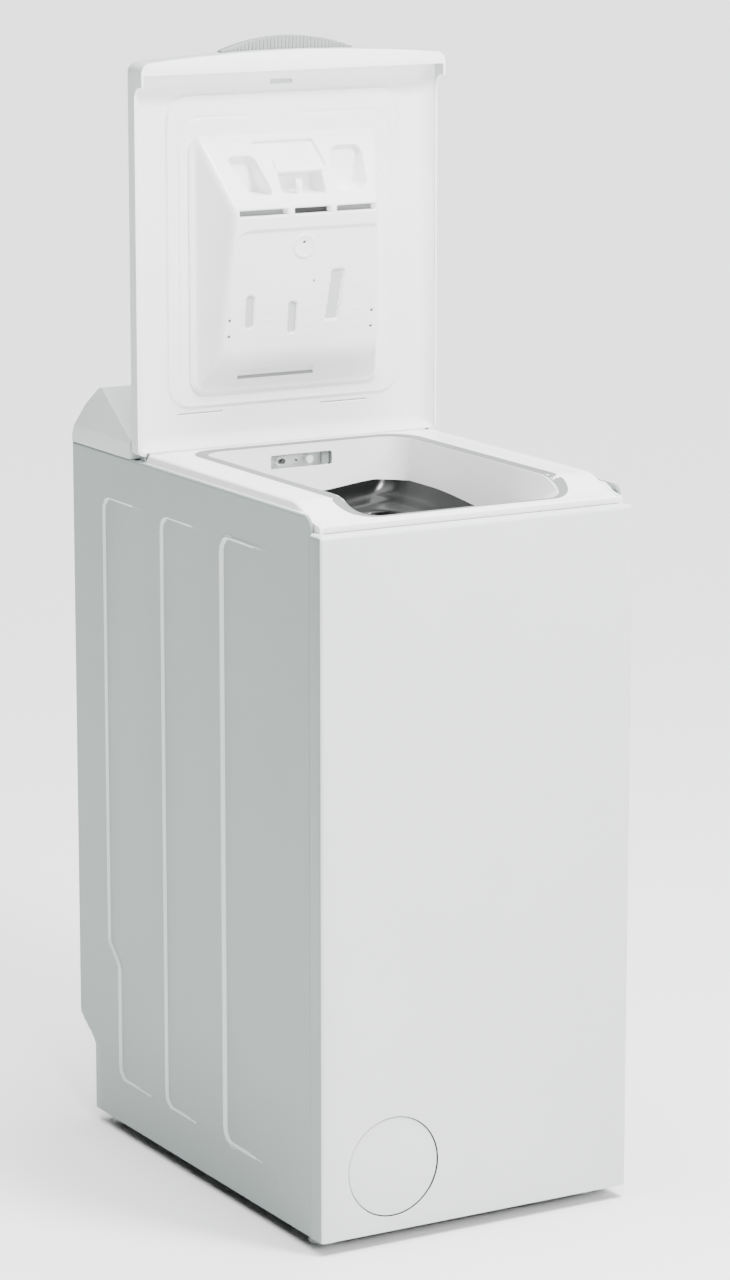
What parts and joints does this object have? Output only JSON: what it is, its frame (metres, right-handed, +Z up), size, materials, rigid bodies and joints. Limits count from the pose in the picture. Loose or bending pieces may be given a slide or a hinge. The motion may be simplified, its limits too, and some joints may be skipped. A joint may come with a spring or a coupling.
{
  "type": "top load washing machine",
  "caption": "Slim top loading washing machine: steel cabinet, hinged lid with detergent tray, sealed throat, drum in a sprung tub, rear console and levelling feet.",
  "frame": {"origin": "on the floor under the middle of the machine's box with the lid open", "axes": "+X to the machine's right as seen from the front, -Y is the front, +Z up"},
  "size_m": [0.4, 0.6, 1.311],
  "materials": {
    "painted_steel": "semi-gloss white enamel with fine orange peel",
    "side_steel": "satin pale grey enamel",
    "white_plastic": "smooth glossy white moulding",
    "console_plastic": "satin pale grey moulding",
    "seal_rubber": "soft pale grey",
    "bellows_rubber": "glossy black",
    "grey_plastic": "satin mid grey",
    "light_grey_plastic": "satin light grey",
    "tub_plastic": "matt off-white glass-filled moulding",
    "dark_lens": "gloss black",
    "zinc_steel": "zinc plated",
    "stainless": "brushed stainless",
    "concrete": "rough cast concrete",
    "cast_alloy": "cast",
    "black_plastic": "matt black",
    "belt_rubber": "matt black",
    "circuit_green": "circuit board",
    "hose_grey": "ribbed grey hose"
  },
  "bodies": {
    "cabinet": {"base_frame": "black_plastic", "side_panel_left": "side_steel", "side_panel_right": "side_steel", "front_panel": "painted_steel", "rear_panel": "zinc_steel", "cross_braces": "zinc_steel", "top_frame": "white_plastic", "throat": "white_plastic", "lid_seal": "seal_rubber", "bellows": "bellows_rubber", "inlet_nozzle": "light_grey_plastic", "inlet_hose": "belt_rubber", "inlet_valve": "light_grey_plastic", "door_lock": "black_plastic", "tub_left": "tub_plastic", "tub_right": "tub_plastic", "tub_bolts": "zinc_steel", "counterweights": "concrete", "heater": "stainless", "bearings": "stainless", "suspension_springs": "zinc_steel", "damper_cylinders": "black_plastic", "damper_rods": "stainless", "motor_housing": "cast_alloy", "drive_belt": "belt_rubber", "hinge_brackets": "zinc_steel", "console_housing": "console_plastic", "display_window": "dark_lens", "control_board": "circuit_green", "drain_pump": "light_grey_plastic", "sump_hose": "belt_rubber", "outlet_hose": "hose_grey", "cord_gland": "black_plastic", "panel_screws": "zinc_steel"},
    "drum": {"drum_shell": "stainless", "drum_ends": "stainless", "drum_paddles": "grey_plastic", "drum_shafts": "stainless", "drum_pulley": "cast_alloy", "drum_flap_front": "stainless", "drum_flap_rear": "stainless"},
    "drum_latch": {"flap_latch": "grey_plastic"},
    "motor": {"motor_rotor": "stainless", "motor_pulley": "zinc_steel"},
    "lid": {"lid_shell": "console_plastic", "lid_liner": "white_plastic", "lid_grip": "grey_plastic", "latch_plate": "zinc_steel", "hinge_pins": "zinc_steel"},
    "dispenser": {"dispenser_tray": "white_plastic", "softener_insert": "white_plastic"},
    "knob": {"program_knob": "grey_plastic"},
    "start": {"start_button": "light_grey_plastic"},
    "option": {"option_button": "light_grey_plastic"},
    "service_cover": {"filter_cover": "painted_steel"},
    "filter": {"filter_cap": "grey_plastic"},
    "front_left_foot": {"foot_front_left": "light_grey_plastic"},
    "front_right_foot": {"foot_front_right": "light_grey_plastic"},
    "rear_left_foot": {"foot_rear_left": "light_grey_plastic"},
    "rear_right_foot": {"foot_rear_right": "light_grey_plastic"}
  },
  "joints": [
    {"name": "lid_hinge", "type": "hinge", "parent": "cabinet", "child": "lid", "pos_m": [0, 0.14, 0.843], "axis": [1, 0, 0], "range_deg": [0, 90]},
    {"name": "dispenser_pull", "type": "slide", "parent": "lid", "child": "dispenser", "axis": [0, -1, 0], "range_m": [0, 0.02]},
    {"name": "drum_spin", "type": "hinge", "parent": "cabinet", "child": "drum", "pos_m": [0, -0.02, 0.43], "axis": [1, 0, 0], "continuous": true},
    {"name": "motor_spin", "type": "hinge", "parent": "cabinet", "child": "motor", "pos_m": [0, 0.188, 0.132], "axis": [1, 0, 0], "continuous": true},
    {"name": "latch_press", "type": "slide", "parent": "drum", "child": "drum_latch", "axis": [0, 0.1045, -0.9945], "range_m": [0, 0.004], "stiffness_N_per_m": 400, "springref_m": -0.002},
    {"name": "knob_turn", "type": "hinge", "parent": "cabinet", "child": "knob", "pos_m": [0, 0.206, 0.8765], "axis": [0, -0.387, 0.9221], "continuous": true},
    {"name": "start_press", "type": "slide", "parent": "cabinet", "child": "start", "axis": [0, 0.387, -0.9221], "range_m": [0, 0.0015], "stiffness_N_per_m": 500, "springref_m": -0.001},
    {"name": "option_press", "type": "slide", "parent": "cabinet", "child": "option", "axis": [0, 0.387, -0.9221], "range_m": [0, 0.0015], "stiffness_N_per_m": 500, "springref_m": -0.001},
    {"name": "cover_pull", "type": "slide", "parent": "cabinet", "child": "service_cover", "axis": [0, -1, 0], "range_m": [0, 0.03]},
    {"name": "filter_turn", "type": "hinge", "parent": "cabinet", "child": "filter", "pos_m": [-0.109, -0.27, 0.091], "axis": [0, -1, 0], "range_deg": [-270, 0]},
    {"name": "front_left_foot_adjust", "type": "slide", "parent": "cabinet", "child": "front_left_foot", "axis": [0, 0, -1], "range_m": [0, 0.012]},
    {"name": "front_right_foot_adjust", "type": "slide", "parent": "cabinet", "child": "front_right_foot", "axis": [0, 0, -1], "range_m": [0, 0.012]},
    {"name": "rear_left_foot_adjust", "type": "slide", "parent": "cabinet", "child": "rear_left_foot", "axis": [0, 0, -1], "range_m": [0, 0.012]},
    {"name": "rear_right_foot_adjust", "type": "slide", "parent": "cabinet", "child": "rear_right_foot", "axis": [0, 0, -1], "range_m": [0, 0.012]}
  ],
  "couplings": [
    {"joint": "motor_spin", "follows": "drum_spin", "ratio": 11}
  ]
}
